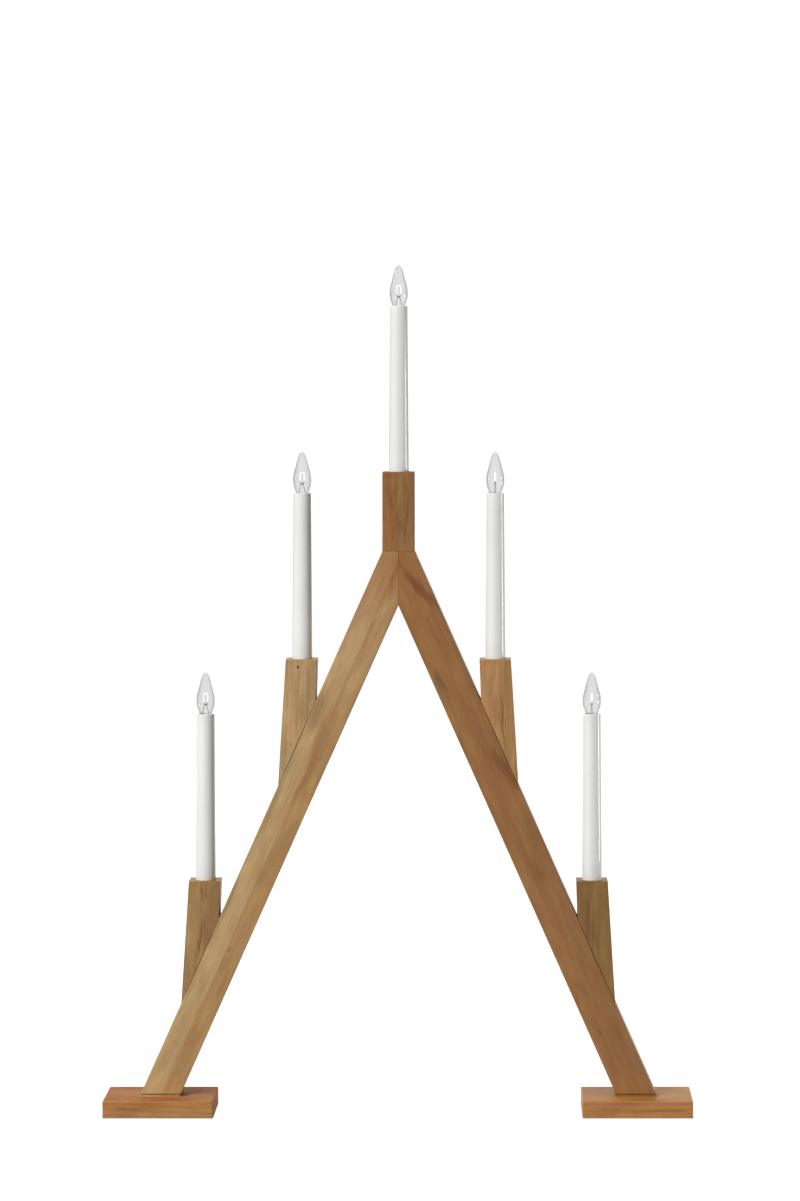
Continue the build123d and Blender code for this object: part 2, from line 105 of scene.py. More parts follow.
def turn(shape, profile, around, closed=False, materialIndex=0):
    # spins (radius, height) points about Z: upwards on the outside, downwards on the inside
    rings = []
    for radius, height in profile:
        if radius < 1e-9:
            rings.append([shape.verts.new((0, 0, height))])
            continue
        angles = [2 * math.pi * k / around for k in range(around)]
        rings.append([shape.verts.new((radius * math.cos(a), radius * math.sin(a), height)) for a in angles])
    for low, high in zip(rings, rings[1:] + rings[:1] if closed else rings[1:]):
        for k in range(around):
            after = (k + 1) % around
            if len(low) == 1:
                corners = (low[0], high[after], high[k])
            elif len(high) == 1:
                corners = (low[k], low[after], high[0])
            else:
                corners = (low[k], low[after], high[after], high[k])
            shape.faces.new(corners).material_index = materialIndex


def asMesh(name, shape, materials, sharpAngle=32):
    mesh = bpy.data.meshes.new(name)
    shape.to_mesh(mesh)
    shape.free()
    for material in materials:
        mesh.materials.append(material)
    mesh.shade_smooth()
    mesh.set_sharp_from_angle(angle=math.radians(sharpAngle))
    return mesh


def placed(mesh, name, place, turnAngle=0.0):
    # a copy of a mesh drawn in millimetres, put where it belongs in metres
    copy = mesh.copy()
    copy.name = name
    copy.transform(Matrix.Translation(place) @ Matrix.Rotation(turnAngle, 4, "Z") @ Matrix.Scale(mm, 4))
    return copy


def addPiece(name, mesh, body, cadNodes):
    piece = bpy.data.objects.new(name, mesh)
    scene.collection.objects.link(piece)
    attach(piece, body)
    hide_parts(*cadNodes)
    return piece


def smoothed(points, steps):
    # a smooth line through (radius, height) points
    line = []
    ends = [points[0]] + points + [points[-1]]
    for a, b, c, d in zip(ends, ends[1:], ends[2:], ends[3:]):
        for k in range(steps):
            t = k / steps
            line.append(tuple(
                0.5 * (2 * q + (r - p) * t + (2 * p - 5 * q + 4 * r - s) * t * t
                       + (3 * q - p - 3 * r + s) * t ** 3)
                for p, q, r, s in zip(a, b, c, d)))
    return line + [points[-1]]


# Oiled pine, sawn and planed: slow clouds and streaks along the board, a few dark flecks, a low satin shine.
# Widths and lengths are in mm. The real fibres are a tenth as wide, so they are drawn coarser to show at all.
pineGrain = {
    "fibres": {"width": 0.9, "length": 30.0, "detail": 3.0},
    "flecks": {"width": 0.6, "length": 7.0, "detail": 1.0},
    "streaks": {"width": 2.6, "length": 34.0, "detail": 2.5},
    "clouds": {"width": 13.0, "length": 42.0, "detail": 2.5},
}
# These tints multiply the board's colour: at its red end, in slow drifts, in late wood, in flecks and on
# sawn ends.
pineTints = {"red": "#D2AE92", "drift": "#DDB78B", "late": "#A87B4E", "fleck": "#8C6238",
             "sawnEnd": "#C3A888"}
pineSwings = {"streaks": 0.06, "clouds": 0.12}  # shares by which they lighten and darken the wood
sawnEndOil = 0.4  # share of the sawn end's tint
ringStretch = 16.0  # the rings' waver is this many times slower along the board
waver = 3.2  # mm that an edge in the wood strays
shortMark = 5.0  # mm: a mark with a smaller half length, or
thinMark = 1.2  # mm: with a smaller half width, keeps its outline


def oiledPine(name, look):
    made, tree = startMaterial("oiled_pine." + name)
    place = put(tree, "ShaderNodeTexCoord")
    middle = Vector(look["middle"]) * mm
    lean = Euler((0, math.radians(look["lean"]), 0))
    # millimetres in the board's own directions: x across, y deep, z along the grain
    board = put(tree, "ShaderNodeMapping", {"vector_type": "TEXTURE"}, {
        "Vector": place.outputs["Object"], "Location": middle, "Rotation": lean, "Scale": (mm, mm, mm)})
    grain = {}
    for pattern, sizes in pineGrain.items():
        stretch = put(tree, "ShaderNodeMapping", {}, {"Vector": board.outputs[0], "Scale": (
            1 / sizes["width"], 1 / sizes["width"], 1 / sizes["length"])})
        grain[pattern] = put(tree, "ShaderNodeTexNoise", {}, {
            "Vector": stretch.outputs[0], "Scale": 1.0, "Detail": sizes["detail"], "Roughness": 0.55})
    pith = middle + lean.to_matrix() @ (Vector((look["pith"][0], look["pith"][1], 0)) * mm)
    runOut = Euler([math.radians(a) for a in (look["runOut"][0], look["lean"] + look["runOut"][1], 0)])
    ringPlace = put(tree, "ShaderNodeMapping", {"vector_type": "TEXTURE"}, {
        "Vector": place.outputs["Object"], "Location": pith, "Rotation": runOut,
        "Scale": (mm, mm, mm * ringStretch)})
    rings = put(tree, "ShaderNodeTexWave", {
        "wave_type": "RINGS", "rings_direction": "Z", "wave_profile": "SAW"}, {
        "Vector": ringPlace.outputs[0], "Scale": 0.1 * math.pi / look["ring"], "Distortion": 9.0,
        "Detail": 3.0, "Detail Scale": 0.45, "Detail Roughness": 0.6})
    late = put(tree, "ShaderNodeMapRange", {"interpolation_type": "SMOOTHSTEP"}, {
        "Value": rings.outputs["Fac"], "From Min": 0.3, "From Max": 0.95})
    # the board's coordinates with ragged edges, for heartwood and marks
    cloudStep = put(tree, "ShaderNodeVectorMath", {"operation": "SUBTRACT"}, {
        0: grain["clouds"].outputs["Color"], 1: (0.5, 0.5, 0.5)})
    fibreStep = put(tree, "ShaderNodeVectorMath", {"operation": "SUBTRACT"}, {
        0: grain["fibres"].outputs["Color"], 1: (0.5, 0.5, 0.5)})
    bothSteps = put(tree, "ShaderNodeVectorMath", {"operation": "MULTIPLY_ADD"}, {
        0: fibreStep.outputs[0], 1: (0.8, 0.0, 6.0), 2: cloudStep.outputs[0]})
    ragged = put(tree, "ShaderNodeVectorMath", {"operation": "MULTIPLY_ADD"}, {
        0: bothSteps.outputs[0], 1: (2 * waver, 0.0, 2 * waver), 2: board.outputs[0]})
    across = put(tree, "ShaderNodeSeparateXYZ", {}, {0: ragged.outputs[0]})
    heart = put(tree, "ShaderNodeMapRange", {"interpolation_type": "SMOOTHSTEP"}, {
        "Value": across.outputs["X"], "From Min": look["heart"] - look["heartSoft"],
        "From Max": look["heart"] + look["heartSoft"]})
    colour = put(tree, "ShaderNodeMix", {"data_type": "RGBA"}, {
        0: heart.outputs[0], 6: linear(look["pale"]), 7: linear(look["deep"])})
    redEnd = put(tree, "ShaderNodeMapRange", {"interpolation_type": "SMOOTHSTEP"}, {
        "Value": across.outputs["Z"], "From Min": look["redFrom"], "From Max": look["redTo"],
        "To Max": look["red"]})
    colour = put(tree, "ShaderNodeMix", {"data_type": "RGBA", "blend_type": "MULTIPLY"}, {
        0: redEnd.outputs[0], 6: colour.outputs[2], 7: linear(pineTints["red"])})
    for x, z, angle, halfWidth, halfLength, strength, tint in look["marks"]:
        # a knot, or a thin line of painted shadow along a joint or across a leg's foot, keeps its outline, a
        # long smear frays along the grain
        edge = ragged if halfLength > shortMark and halfWidth > thinMark else board
        mark = put(tree, "ShaderNodeMapping", {"vector_type": "TEXTURE"}, {
            "Vector": edge.outputs[0], "Location": (x, 0, z), "Rotation": (0, math.radians(angle), 0),
            "Scale": (halfWidth, 10000.0, halfLength)})
        reach = put(tree, "ShaderNodeVectorMath", {"operation": "LENGTH"}, {0: mark.outputs[0]})
        dark = put(tree, "ShaderNodeMapRange", {"interpolation_type": "SMOOTHSTEP"}, {
            "Value": reach.outputs["Value"], "From Min": 1.2, "From Max": 0.4, "To Max": strength})
        colour = put(tree, "ShaderNodeMix", {"data_type": "RGBA"}, {
            0: dark.outputs[0], 6: colour.outputs[2], 7: linear(tint)})
    # slow drift towards red, then late wood, streaks and fibres
    drift = put(tree, "ShaderNodeSeparateColor", {}, {0: grain["clouds"].outputs["Color"]})
    reddish = put(tree, "ShaderNodeMapRange", {"interpolation_type": "SMOOTHSTEP"}, {
        "Value": drift.outputs["Green"], "From Min": 0.4, "From Max": 0.68, "To Max": look["drift"]})
    colour = put(tree, "ShaderNodeMix", {"data_type": "RGBA", "blend_type": "MULTIPLY"}, {
        0: reddish.outputs[0], 6: colour.outputs[2], 7: linear(pineTints["drift"])})
    lateAmount = put(tree, "ShaderNodeMath", {"operation": "MULTIPLY"}, {
        0: late.outputs[0], 1: look["ringDark"]})
    colour = put(tree, "ShaderNodeMix", {"data_type": "RGBA", "blend_type": "MULTIPLY"}, {
        0: lateAmount.outputs[0], 6: colour.outputs[2], 7: linear(pineTints["late"])})
    tone = None
    for pattern, swing in {"fibres": look["fibre"], **pineSwings}.items():
        shade = put(tree, "ShaderNodeMapRange", {}, {
            "Value": grain[pattern].outputs["Fac"], "From Min": 0.3, "From Max": 0.7,
            "To Min": 1 - swing, "To Max": 1 + swing})
        if tone:
            shade = put(tree, "ShaderNodeMath", {"operation": "MULTIPLY"}, {
                0: shade.outputs[0], 1: tone.outputs[0]})
        tone = shade
    colour = put(tree, "ShaderNodeVectorMath", {"operation": "SCALE"}, {
        0: colour.outputs[2], "Scale": tone.outputs[0]})
    fleckAmount = put(tree, "ShaderNodeMapRange", {"interpolation_type": "SMOOTHSTEP"}, {
        "Value": grain["flecks"].outputs["Fac"], "From Min": 0.6, "From Max": 0.72, "To Max": look["fleck"]})
    colour = put(tree, "ShaderNodeMix", {"data_type": "RGBA", "blend_type": "MULTIPLY"}, {
        0: fleckAmount.outputs[0], 6: colour.outputs[0], 7: linear(pineTints["fleck"])})
    # sawn ends drink more oil than the planed faces
    grainWay = lean.to_matrix() @ Vector((0, 0, 1))
    facing = put(tree, "ShaderNodeVectorMath", {"operation": "DOT_PRODUCT"}, {
        0: place.outputs["Normal"], 1: grainWay})
    endFace = put(tree, "ShaderNodeMath", {"operation": "ABSOLUTE"}, {0: facing.outputs["Value"]})
    endAmount = put(tree, "ShaderNodeMapRange", {"interpolation_type": "SMOOTHSTEP"}, {
        "Value": endFace.outputs[0], "From Min": 0.82, "From Max": 0.96, "To Max": sawnEndOil})
    colour = put(tree, "ShaderNodeMix", {"data_type": "RGBA", "blend_type": "MULTIPLY"}, {
        0: endAmount.outputs[0], 6: colour.outputs[2], 7: linear(pineTints["sawnEnd"])})
    # faces that look up get a painted tint, the colour that the light from above gives the tops
    upward = put(tree, "ShaderNodeSeparateXYZ", {}, {0: place.outputs["Normal"]})
    paintedTopMask = put(tree, "ShaderNodeMapRange", {"interpolation_type": "SMOOTHSTEP"}, {
        "Value": upward.outputs["Z"], "From Min": 0.9, "From Max": 0.99})
    colour = put(tree, "ShaderNodeMix", {"data_type": "RGBA", "blend_type": "MULTIPLY"}, {
        0: paintedTopMask.outputs[0], 6: colour.outputs[2], 7: linear(look["paintedTopTint"])})
    shine = put(tree, "ShaderNodeMapRange", {}, {
        "Value": grain["fibres"].outputs["Fac"], "From Min": 0.25, "From Max": 0.75,
        "To Min": look["rough"][0], "To Max": look["rough"][1]})
    height = put(tree, "ShaderNodeMath", {"operation": "MULTIPLY_ADD"}, {
        0: late.outputs[0], 1: 0.4, 2: grain["fibres"].outputs["Fac"]})
    height = put(tree, "ShaderNodeMath", {"operation": "SUBTRACT"}, {
        0: height.outputs[0], 1: fleckAmount.outputs[0]})
    relief = put(tree, "ShaderNodeBump", {}, {
        "Strength": 0.3, "Distance": 0.1 * mm, "Height": height.outputs[0]})
    shader = put(tree, "ShaderNodeBsdfPrincipled", {}, {
        "Base Color": colour.outputs[2], "Roughness": shine.outputs[0], "IOR": 1.48,
        "Normal": relief.outputs[0]})
    put(tree, "ShaderNodeOutputMaterial", {}, {"Surface": shader.outputs[0]})
    return made


# Boards: middle and sizes in mm, angles in degrees. The pith is the rings' centre, and the heartwood begins
# at heart, both measured across the board.
# A mark is (across, along, turn, half width, half length, strength, tint).
# The tint for faces that look up is painted light, the colour that the light from above gives the tops.
plainBoard = {"lean": 0.0, "pith": (-40.0, 34.0), "runOut": (0.8, 0.6), "ring": 3.4, "ringDark": 0.14,
              "pale": "#AE8A5F", "deep": "#A17C52", "heart": 0.0, "heartSoft": 6.0, "drift": 0.35,
              "fibre": 0.1,
              "fleck": 0.3, "redFrom": 900.0, "redTo": 1000.0, "red": 0.0, "rough": (0.5, 0.34),
              "paintedTopTint": "#FFFFFF",
              "marks": []}
boards = {
    "left_leg": {
        "middle": (-102.3, 0, 252.7), "lean": 24.0, "pith": (-70.0, 26.0), "runOut": (0.5, 1.1),
        "ring": 4.2,
        "pale": "#BC9B6D", "deep": "#AC8656", "heart": 0.6, "heartSoft": 1.0, "ringDark": 0.05,
        "fleck": 0.16,
        "redFrom": 165.0, "redTo": 250.0, "red": 0.7, "fibre": 0.07,
        "marks": [(8.5, 172.0, 0.0, 8.5, 80.0, 0.7, "#B59466"),
                  (-11.0, 101.0, -3.0, 5.4, 26.0, 0.65, "#84673F"),
                  (-1.0, 84.0, -4.0, 4.0, 30.0, 0.4, "#8E683E"),
                  (-13.4, 26.0, 0.0, 4.0, 46.0, 0.4, "#8F8158"),
                  (-15.0, -70.0, 0.0, 2.2, 60.0, 0.4, "#86683F"),
                  (4.0, 48.0, 6.0, 3.0, 40.0, 0.4, "#94693D"),
                  (10.0, -150.0, 3.0, 2.0, 26.0, 0.35, "#8A6238"),
                  (3.0, -118.0, 0.0, 1.6, 3.4, 0.5, "#7A4E28"),
                  # these two: a glue line where the side posts meet the leg, with the shadow of the joint's
                  # gap painted in
                  (-16.1, 70.4, 0.0, 1.0, 44.0, 0.9, "#48331B"),
                  (-16.1, -134.0, 0.0, 1.0, 44.0, 0.9, "#48331B"),
                  # painted contact shadow: a thin dark line across the leg's bottom where it stands on the
                  # foot
                  (0.0, -258.0, -24.0, 34.0, 0.8, 0.8, "#48331B")]},
    "right_leg": {
        "middle": (102.3, 0, 252.7), "lean": -24.0, "pith": (58.0, 30.0), "runOut": (-0.6, 1.4),
        "ring": 4.6,
        "pale": "#986B3C", "deep": "#91663A", "heart": 3.0, "heartSoft": 9.0, "ringDark": 0.06,
        "fleck": 0.14, "fibre": 0.07,
        "marks": [(7.5, 222.0, -20.0, 4.6, 23.0, 0.75, "#72431D"),
                  (-10.5, 134.0, 1.0, 4.0, 22.0, 0.65, "#66492A"),
                  (11.0, 47.0, -13.0, 4.6, 25.0, 0.75, "#74431B"),
                  (-14.0, 78.0, 0.0, 2.4, 14.0, 0.5, "#6B5530"),
                  (-9.0, 120.0, -12.0, 3.0, 20.0, 0.3, "#AB8052"),
                  (-3.0, -40.0, -3.0, 5.0, 80.0, 0.25, "#7C5029"),
                  (8.0, -170.0, 2.0, 3.0, 50.0, 0.3, "#7A4C24"),
                  (-7.0, -196.0, 0.0, 1.5, 3.0, 0.5, "#5E3616"),
                  # these two: a glue line where the side posts meet the leg, with the shadow of the joint's
                  # gap painted in
                  (16.1, 70.4, 0.0, 1.0, 44.0, 0.9, "#442E17"),
                  (16.1, -134.0, 0.0, 1.0, 44.0, 0.9, "#442E17"),
                  # painted contact shadow: a thin dark line across the leg's bottom where it stands on the
                  # foot
                  (0.0, -258.0, 24.0, 34.0, 0.8, 0.8, "#442E17")]},
    "apex_post": {
        "pale": "#946638", "deep": "#926A3E", "heart": -2.0, "heartSoft": 4.0, "pith": (46.0, 38.0),
        "ring": 3.8,
        "fleck": 0.55, "fibre": 0.14,
        "marks": [(7.0, -40.0, 2.0, 1.6, 30.0, 0.45, "#6C4A24"),
                  (-8.0, -20.0, -1.0, 1.4, 22.0, 0.35, "#7A4C28")]},
    "upper_left_post": {
        "pale": "#B9986A", "deep": "#B29366", "heart": 2.0, "pith": (-52.0, 30.0), "ring": 3.6,
        "fibre": 0.12,
        "marks": [(-3.0, -6.6, 0.0, 1.5, 1.7, 0.95, "#5A3A1A"),
                  (-1.2, -7.4, 0.0, 1.3, 1.2, 0.7, "#C9A063"),
                  (5.0, -30.0, 1.0, 1.6, 24.0, 0.3, "#8A6640"),
                  (10.0, -60.0, 4.0, 3.0, 26.0, 0.3, "#BC976B")]},
    "upper_right_post": {
        "pale": "#B58A59", "deep": "#A87F4E", "heart": 4.0, "pith": (50.0, 34.0), "ring": 3.6,
        "fibre": 0.12,
        "marks": [(6.6, -54.0, -4.8, 1.4, 27.0, 0.65, "#6F4A24"),
                  (-4.0, -40.0, -3.0, 3.0, 26.0, 0.35, "#B08A5E")]},
    "lower_left_post": {
        "pale": "#A48252", "deep": "#987344", "heart": -1.0, "heartSoft": 3.0, "pith": (-44.0, 36.0),
        "ring": 3.3,
        "marks": [(-2.6, -10.5, 0.0, 1.3, 6.0, 0.6, "#6B4A1E"),
                  (1.6, -10.5, 0.0, 1.5, 6.5, 0.6, "#68461B"),
                  (-4.4, -52.0, 9.0, 1.8, 27.0, 0.6, "#714B1C"),
                  (-9.0, -92.0, 6.0, 2.4, 22.0, 0.45, "#8A5A30")]},
    "lower_right_post": {
        "pale": "#846132", "deep": "#8B6A39", "heart": 0.0, "heartSoft": 5.0, "pith": (48.0, 40.0),
        "ring": 3.5,
        "marks": [(-5.0, -30.0, -2.0, 1.8, 24.0, 0.4, "#6B4A20"),
                  (6.0, -66.0, -5.0, 2.2, 26.0, 0.35, "#704E24")]},
    "left_foot": {
        "lean": 90.0, "rough": (0.9, 0.8), "paintedTopTint": "#F2EEF6", "pale": "#B8804A", "deep": "#B48757",
        "heart": 0.5, "heartSoft": 3.0, "pith": (30.0, -52.0),
        "runOut": (1.2, 0.8), "ring": 3.9, "ringDark": 0.2,
        "marks": [(-2.0, -20.0, 2.0, 1.5, 30.0, 0.4, "#8C5628"),
                  (3.0, 24.0, -2.0, 1.6, 26.0, 0.35, "#B98A58")]},
    "right_foot": {
        "lean": 90.0, "rough": (0.58, 0.44), "paintedTopTint": "#F3FFD3", "pale": "#B87D48", "deep": "#B4814A",
        "heart": -1.0, "heartSoft": 3.0, "pith": (26.0, -60.0),
        "runOut": (-1.0, 0.6), "ring": 3.7, "ringDark": 0.2,
        "marks": [(1.0, 20.0, -2.0, 1.5, 34.0, 0.4, "#8A552B"),
                  (-4.0, -24.0, 1.0, 1.4, 30.0, 0.3, "#B48558")]},
    "left_cover_strip": {
        "middle": (-102.3, 0, 252.7), "lean": 24.0, "pith": (-60.0, 44.0), "ring": 3.0,
        "pale": "#AD885C"},
    "right_cover_strip": {
        "middle": (102.3, 0, 252.7), "lean": -24.0, "pith": (64.0, 40.0), "ring": 3.2, "pale": "#A27C51"},
}
for nodeName, own in boards.items():
    look = {**plainBoard, **own}
    if "middle" not in look:
        low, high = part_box(nodeName)
        centre = (low + high) / 2
        if nodeName.endswith("_post"):
            sleeveLow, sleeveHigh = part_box(nodeName.replace("_post", "_candle"))
            centre = Vector(((sleeveLow.x + sleeveHigh.x) / 2, 0, high.z))
        look["middle"] = tuple(centre / mm)
    nodes[nodeName].data.materials.clear()
    nodes[nodeName].data.materials.append(oiledPine(nodeName, look))
print("boards:", len(boards))


# Beech dowel, rolled and ribbed: pale, even and fine grained.
beechDowel = {"pale": "#D2AE7E", "dark": "#B98C5A", "grain": 0.8, "length": 14.0}
rolledBeech, tree = startMaterial("rolled_beech")
place = put(tree, "ShaderNodeTexCoord")
stretch = put(tree, "ShaderNodeMapping", {}, {"Vector": place.outputs["Object"], "Scale": (
    1 / (beechDowel["length"] * mm), 1 / (beechDowel["grain"] * mm), 1 / (beechDowel["length"] * mm))})
flecks = put(tree, "ShaderNodeTexNoise", {}, {"Vector": stretch.outputs[0], "Scale": 1.0, "Detail": 3.0})
colour = put(tree, "ShaderNodeMix", {"data_type": "RGBA"}, {
    0: flecks.outputs["Fac"], 6: linear(beechDowel["pale"]), 7: linear(beechDowel["dark"])})
shader = put(tree, "ShaderNodeBsdfPrincipled", {}, {
    "Base Color": colour.outputs[2], "Roughness": 0.6, "IOR": 1.48})
put(tree, "ShaderNodeOutputMaterial", {}, {"Surface": shader.outputs[0]})


# Moulded plastics and pressed glass: smooth from a polished tool, with faint flow marks in the shine and the
# tint, and a fine peel. Sizes are in mm: flow marks, peel and the peel's height.
mouldedFinishes = {
    "white_polypropylene": {
        "tint": "#ECECE9", "tintTwo": "#E4E4E0", "rough": 0.14, "flow": 26.0, "peel": 2.4, "lift": 0.004},
    "grey_nylon": {
        "tint": "#BFC0BC", "tintTwo": "#B2B3AF", "rough": 0.45, "flow": 9.0, "peel": 0.8, "lift": 0.01},
    "white_urea": {
        "tint": "#E6E5E0", "tintTwo": "#DCDBD5", "rough": 0.35, "flow": 6.0, "peel": 0.6, "lift": 0.01},
    "cream_polyamide": {
        "tint": "#E3DDCB", "tintTwo": "#D8D1BD", "rough": 0.4, "flow": 7.0, "peel": 0.8, "lift": 0.01},
    "white_wire_sheath": {
        "tint": "#E2E1DA", "tintTwo": "#D6D5CD", "rough": 0.5, "flow": 12.0, "peel": 0.9, "lift": 0.012},
    "grey_lead_glass": {
        "tint": "#A2A4A4", "tintTwo": "#929494", "rough": 0.1, "flow": 1.5, "peel": 0.5, "lift": 0.004},
    "black_vitreous": {
        "tint": "#17181B", "tintTwo": "#24262A", "rough": 0.12, "flow": 2.0, "peel": 0.5, "lift": 0.006},
}
moulded = {}
for name, look in mouldedFinishes.items():
    made, tree = startMaterial(name + "_moulded")
    place = put(tree, "ShaderNodeTexCoord")
    flow = put(tree, "ShaderNodeTexNoise", {}, {
        "Vector": place.outputs["Object"], "Scale": 1 / (look["flow"] * mm),
        "Detail": 2.0, "Roughness": 0.45})
    peel = put(tree, "ShaderNodeTexNoise", {}, {
        "Vector": place.outputs["Object"], "Scale": 1 / (look["peel"] * mm), "Detail": 1.0})
    colour = put(tree, "ShaderNodeMix", {"data_type": "RGBA"}, {
        0: flow.outputs["Fac"], 6: linear(look["tint"]), 7: linear(look["tintTwo"])})
    shine = put(tree, "ShaderNodeMapRange", {}, {
        "Value": flow.outputs["Fac"], "From Min": 0.3, "From Max": 0.7,
        "To Min": look["rough"] * 0.85, "To Max": look["rough"] * 1.15})
    relief = put(tree, "ShaderNodeBump", {}, {
        "Strength": 0.3, "Distance": look["lift"] * mm, "Height": peel.outputs["Fac"]})
    shader = put(tree, "ShaderNodeBsdfPrincipled", {}, {
        "Base Color": colour.outputs[2], "Roughness": shine.outputs[0], "IOR": 1.58,
        "Normal": relief.outputs[0]})
    put(tree, "ShaderNodeOutputMaterial", {}, {"Surface": shader.outputs[0]})
    moulded[name] = made


# Metals: drawn, plated or soldered, so the shine and the tone vary in small patches (mm).
workedMetals = {
    "brass_drawn": {"tint": "#D6B36A", "dull": "#A9823F", "rough": 0.28, "patch": 3.0, "lift": 0.01},
    "steel_zinc_plated": {"tint": "#C9CBCB", "dull": "#9FA3A6", "rough": 0.32, "patch": 2.0, "lift": 0.012},
    "nickel_wire_drawn": {"tint": "#B4B1AB", "dull": "#8C8982", "rough": 0.3, "patch": 0.8, "lift": 0.004},
    "solder_tin_domed": {"tint": "#BFC0BE", "dull": "#90918F", "rough": 0.36, "patch": 0.7, "lift": 0.01},
}
metals = {}
for name, look in workedMetals.items():
    made, tree = startMaterial(name)
    place = put(tree, "ShaderNodeTexCoord")
    patches = put(tree, "ShaderNodeTexNoise", {}, {
        "Vector": place.outputs["Object"], "Scale": 1 / (look["patch"] * mm),
        "Detail": 3.0, "Roughness": 0.6})
    worn = put(tree, "ShaderNodeMapRange", {"interpolation_type": "SMOOTHSTEP"}, {
        "Value": patches.outputs["Fac"], "From Min": 0.4, "From Max": 0.7})
    colour = put(tree, "ShaderNodeMix", {"data_type": "RGBA"}, {
        0: worn.outputs[0], 6: linear(look["tint"]), 7: linear(look["dull"])})
    shine = put(tree, "ShaderNodeMapRange", {}, {
        "Value": patches.outputs["Fac"], "From Min": 0.3, "From Max": 0.7,
        "To Min": look["rough"] * 0.8, "To Max": look["rough"] * 1.3})
    relief = put(tree, "ShaderNodeBump", {}, {
        "Strength": 0.25, "Distance": look["lift"] * mm, "Height": patches.outputs["Fac"]})
    shader = put(tree, "ShaderNodeBsdfPrincipled", {}, {
        "Base Color": colour.outputs[2], "Metallic": 1.0, "Roughness": shine.outputs[0],
        "Normal": relief.outputs[0]})
    put(tree, "ShaderNodeOutputMaterial", {}, {"Surface": shader.outputs[0]})
    metals[name] = made


# Soda glass, blown thin: it passes light straight on, greyer where the eye looks along the wall, and slow
# waves in it bend what it reflects.
blownGlass = {"clear": "#F8F8F8", "edge": "#E0E0E0", "edgePower": 2.0, "shine": "#A8A8A8", "shinePower": 5.0,
              "leastShine": 0.04, "rough": 0.02, "wave": 9.0, "lift": 0.02}
sodaGlass, tree = startMaterial("soda_glass_blown")
place = put(tree, "ShaderNodeTexCoord")
waves = put(tree, "ShaderNodeTexNoise", {}, {
    "Vector": place.outputs["Object"], "Scale": 1 / (blownGlass["wave"] * mm), "Detail": 1.0})
relief = put(tree, "ShaderNodeBump", {}, {
    "Strength": 0.2, "Distance": blownGlass["lift"] * mm, "Height": waves.outputs["Fac"]})
along = put(tree, "ShaderNodeLayerWeight", {}, {"Blend": 0.5, "Normal": relief.outputs[0]})
edge = put(tree, "ShaderNodeMath", {"operation": "POWER"}, {
    0: along.outputs["Facing"], 1: blownGlass["edgePower"]})
tint = put(tree, "ShaderNodeMix", {"data_type": "RGBA"}, {
    0: edge.outputs[0], 6: linear(blownGlass["clear"]), 7: linear(blownGlass["edge"])})
through = put(tree, "ShaderNodeBsdfTransparent", {}, {"Color": tint.outputs[2]})
grazing = put(tree, "ShaderNodeMath", {"operation": "POWER"}, {
    0: along.outputs["Facing"], 1: blownGlass["shinePower"]})
mirror = put(tree, "ShaderNodeMath", {"operation": "MULTIPLY_ADD"}, {
    0: grazing.outputs[0], 1: 1 - blownGlass["leastShine"], 2: blownGlass["leastShine"]})
shine = put(tree, "ShaderNodeBsdfPrincipled", {}, {
    "Base Color": linear(blownGlass["shine"]), "Metallic": 1.0, "Roughness": blownGlass["rough"],
    "Normal": relief.outputs[0]})
both = put(tree, "ShaderNodeMixShader", {}, {
    0: mirror.outputs[0], 1: through.outputs[0], 2: shine.outputs[0]})
put(tree, "ShaderNodeOutputMaterial", {}, {"Surface": both.outputs[0]})


# Tungsten, coiled and glowing: white hot, with slightly warmer patches where it is cooler.
glowingCoil = {"metal": "#5A5854", "hot": "#FFFDF8", "cool": "#FFF3DE", "strength": 1.6, "patch": 2.0}
tungsten, tree = startMaterial("tungsten_coiled_glowing")
place = put(tree, "ShaderNodeTexCoord")
heat = put(tree, "ShaderNodeTexNoise", {}, {
    "Vector": place.outputs["Object"], "Scale": 1 / (glowingCoil["patch"] * mm), "Detail": 1.0})
colour = put(tree, "ShaderNodeMix", {"data_type": "RGBA"}, {
    0: heat.outputs["Fac"], 6: linear(glowingCoil["hot"]), 7: linear(glowingCoil["cool"])})
shader = put(tree, "ShaderNodeBsdfPrincipled", {}, {
    "Base Color": linear(glowingCoil["metal"]), "Metallic": 1.0, "Roughness": 0.4,
    "Emission Color": colour.outputs[2], "Emission Strength": glowingCoil["strength"]})
put(tree, "ShaderNodeOutputMaterial", {}, {"Surface": shader.outputs[0]})
print("finishes:", len(bpy.data.materials))


